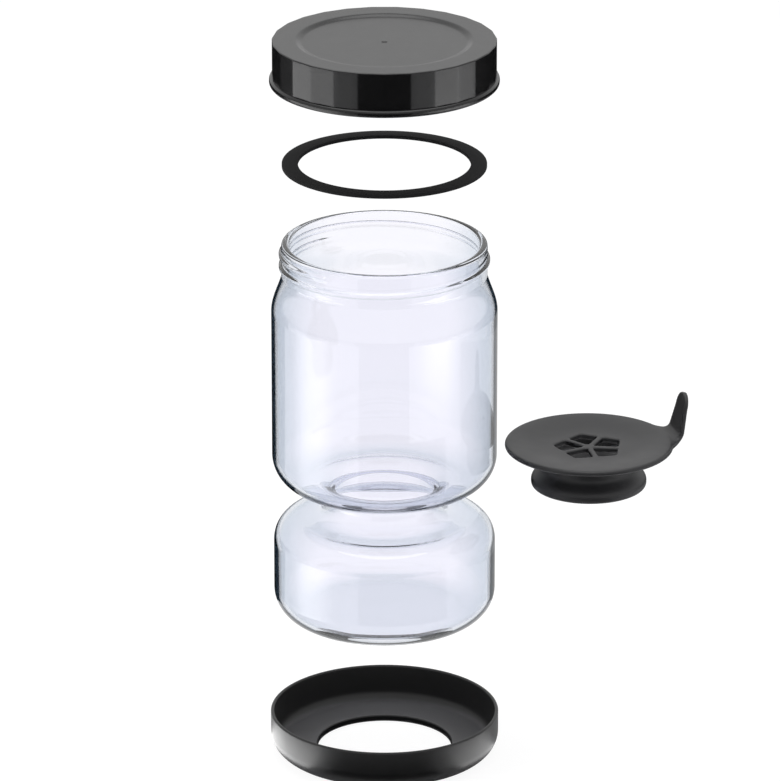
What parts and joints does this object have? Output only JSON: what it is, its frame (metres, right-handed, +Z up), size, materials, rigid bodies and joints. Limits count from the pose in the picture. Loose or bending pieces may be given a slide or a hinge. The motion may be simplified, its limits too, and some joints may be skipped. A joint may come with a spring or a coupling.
{
  "type": "pickle keeper jar",
  "caption": "Waisted glass pickle jar with an upper and a lower chamber, taken apart: screw lid, flat gasket, petal strainer plug with lift tab, and soft base ring.",
  "frame": {"origin": "middle of the whole layout's footprint, on the worktop plane that the base ring stands on", "axes": "+Z up along the jar's axis, +X from the jar towards the strainer, -Y towards the viewer"},
  "size_m": [0.1758, 0.0964, 0.3149],
  "materials": {
    "jar_glass": "pressed, fire-polished",
    "lid_plastic": "satin moulded",
    "gasket_rubber": "matt",
    "strainer_silicone": "soft satin",
    "base_silicone": "soft satin"
  },
  "bodies": {
    "base": {"base_ring": "base_silicone"},
    "jar": {"glass_jar": "jar_glass"},
    "gasket": {"lid_gasket": "gasket_rubber"},
    "cap": {"lid": "lid_plastic"},
    "plug": {"strainer": "strainer_silicone"}
  },
  "joints": [
    {"name": "jar_into_base", "type": "slide", "parent": "base", "child": "jar", "axis": [0, 0, -1], "range_m": [0, 0.0589]},
    {"name": "lid_onto_jar", "type": "slide", "parent": "jar", "child": "cap", "axis": [0, 0, -1], "range_m": [0, 0.084]},
    {"name": "gasket_onto_rim", "type": "slide", "parent": "jar", "child": "gasket", "axis": [0, 0, -1], "range_m": [0, 0.0332]},
    {"name": "strainer_set_down", "type": "slide", "parent": "base", "child": "plug", "axis": [0, 0, -1], "range_m": [0, 0.1199]}
  ],
  "couplings": [
    {"joint": "gasket_onto_rim", "follows": "lid_onto_jar", "ratio": 0.39524}
  ]
}
